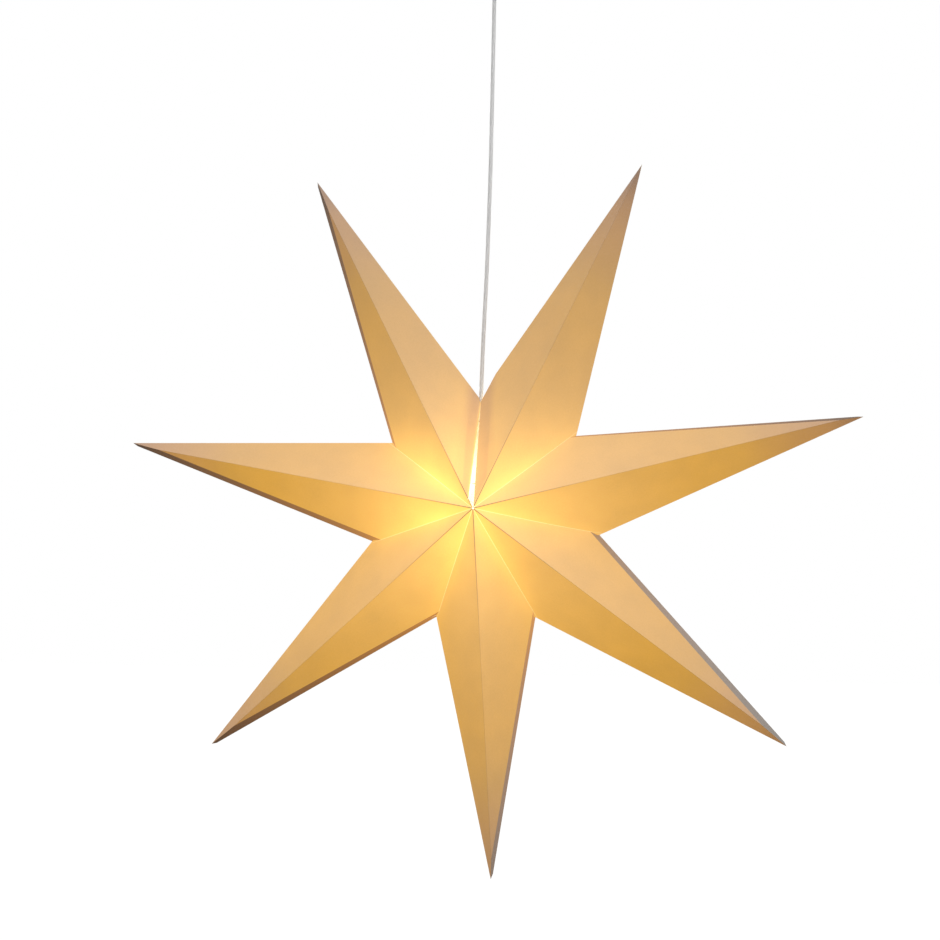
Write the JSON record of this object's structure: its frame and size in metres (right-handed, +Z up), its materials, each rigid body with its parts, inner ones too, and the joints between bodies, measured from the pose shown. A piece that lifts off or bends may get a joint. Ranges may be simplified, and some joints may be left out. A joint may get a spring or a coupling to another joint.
{
  "type": "advent star pendant lamp",
  "caption": "Lit star of folded white paper points with seam strips and an open front slit, hung by a thin white cord from a ceiling rose, with a bulb and lampholder inside.",
  "frame": {"origin": "on the ceiling, at the middle of the bracket's upper face", "axes": "+Z up to the ceiling, -Y to the front of the star, +X to the viewer's right"},
  "size_m": [0.7468, 0.1403, 0.9822],
  "materials": {
    "folded_paper": "matt, lit from behind",
    "cord_sheath": "satin",
    "core_insulation": "satin",
    "holder_plastic": "satin",
    "rose_plastic": "satin",
    "terminal_ceramic": "unglazed",
    "brass": "pressed",
    "plated_screws": "zinc plated",
    "bulb_cap_metal": "bright",
    "bulb_insulator": "black vitrite",
    "bulb_glass": "clear",
    "filament": "glowing",
    "bracket_steel": "zinc plated"
  },
  "bodies": {
    "ceiling_rose": {"ceiling_bracket": "bracket_steel", "cord_clamp": "rose_plastic", "clamp_screws": "plated_screws", "terminal_block": "rose_plastic", "block_screws": "plated_screws", "rose_cores": "core_insulation"},
    "canopy": {"canopy_cup": "rose_plastic", "canopy_bush": "rose_plastic", "canopy_nut": "rose_plastic", "canopy_lock_screw": "plated_screws"},
    "hanging_star": {"point_top_left": "folded_paper", "point_left": "folded_paper", "point_lower_left": "folded_paper", "point_bottom": "folded_paper", "point_lower_right": "folded_paper", "point_right": "folded_paper", "point_top_right": "folded_paper", "closing_strip": "folded_paper", "cord": "cord_sheath", "carrier_disc": "holder_plastic", "cord_grip": "holder_plastic", "grip_screw": "plated_screws", "holder_cap": "holder_plastic", "holder_skirt": "holder_plastic", "screw_shell": "brass", "terminal_insert": "terminal_ceramic", "terminal_screws": "plated_screws", "centre_tongue": "brass", "holder_cores": "core_insulation"},
    "bulb_tip": {"bulb_contact": "brass"},
    "bulb": {"bulb_insulator": "bulb_insulator", "bulb_cap": "bulb_cap_metal", "bulb_globe": "bulb_glass", "bulb_stem": "bulb_glass", "led_filaments": "filament"}
  },
  "joints": [
    {"name": "star_turn", "type": "hinge", "parent": "ceiling_rose", "child": "hanging_star", "pos_m": [0, 0, -0.05], "axis": [0, 0, 1], "range_deg": [-180, 180]},
    {"name": "canopy_slide", "type": "slide", "parent": "ceiling_rose", "child": "canopy", "axis": [0, 0, -1], "range_m": [0, 0.08]},
    {"name": "bulb_withdraw", "type": "slide", "parent": "hanging_star", "child": "bulb_tip", "axis": [0, 0, -1], "range_m": [0, 0.02]},
    {"name": "bulb_turn", "type": "hinge", "parent": "bulb_tip", "child": "bulb", "pos_m": [-0.00558, 0, -0.62], "axis": [0, 0, -1], "range_deg": [0, 2550]}
  ],
  "couplings": [
    {"joint": "bulb_withdraw", "follows": "bulb_turn", "m_per_rad": 0.00044913}
  ]
}
